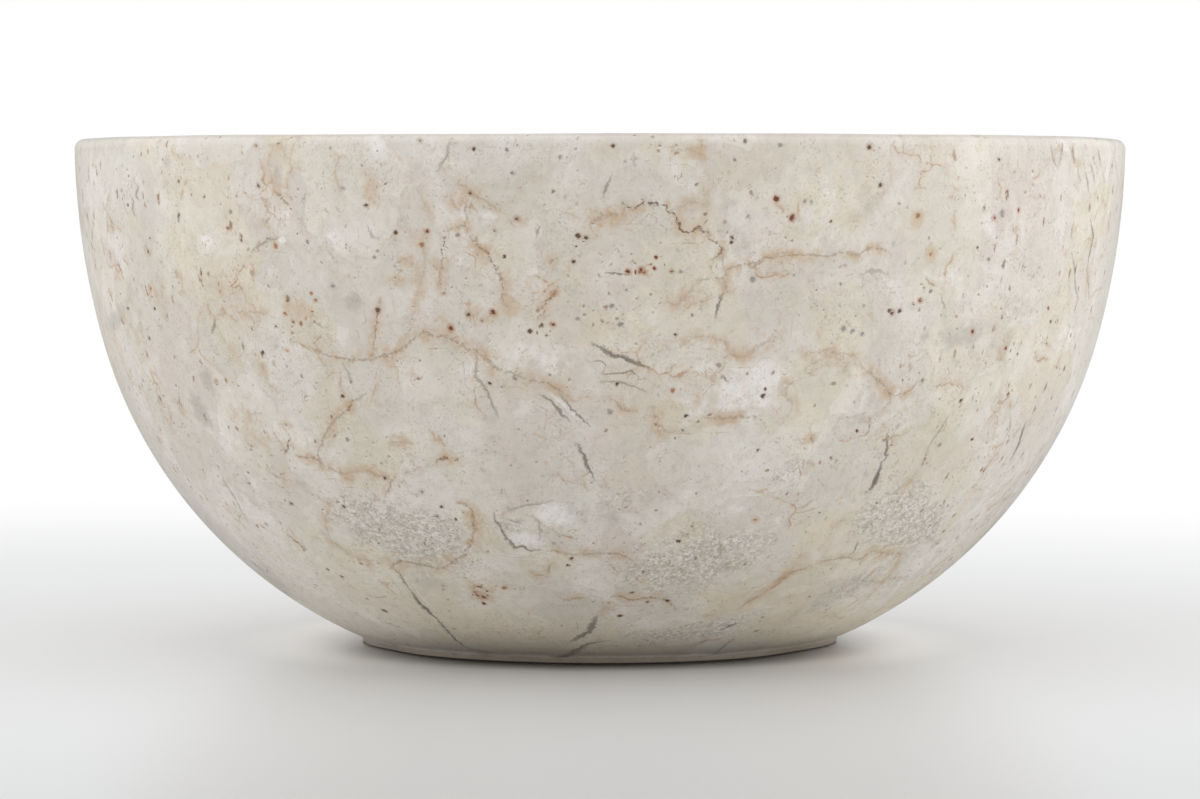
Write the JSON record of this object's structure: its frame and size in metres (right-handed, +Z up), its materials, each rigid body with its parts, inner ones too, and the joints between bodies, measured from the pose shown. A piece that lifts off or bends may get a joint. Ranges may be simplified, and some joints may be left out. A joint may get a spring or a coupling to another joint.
{
  "type": "shaving bowl",
  "caption": "Turned stone lather bowl: a round, deep hollow in one thick piece with a flat ground foot and eased rim.",
  "frame": {"origin": "centre of the flat foot's underside, on the surface that the bowl stands on", "axes": "+Z up along the bowl's axis, out of its mouth; +X to the right and -Y towards the viewer; the bowl is round, so X and Y are alike"},
  "size_m": [0.12, 0.12, 0.0577],
  "materials": {
    "limestone": "honed and waxed cream limestone with tan veins, rust specks and grey crystalline patches"
  },
  "bodies": {
    "root": {"stone_bowl": "limestone"}
  },
  "joints": []
}
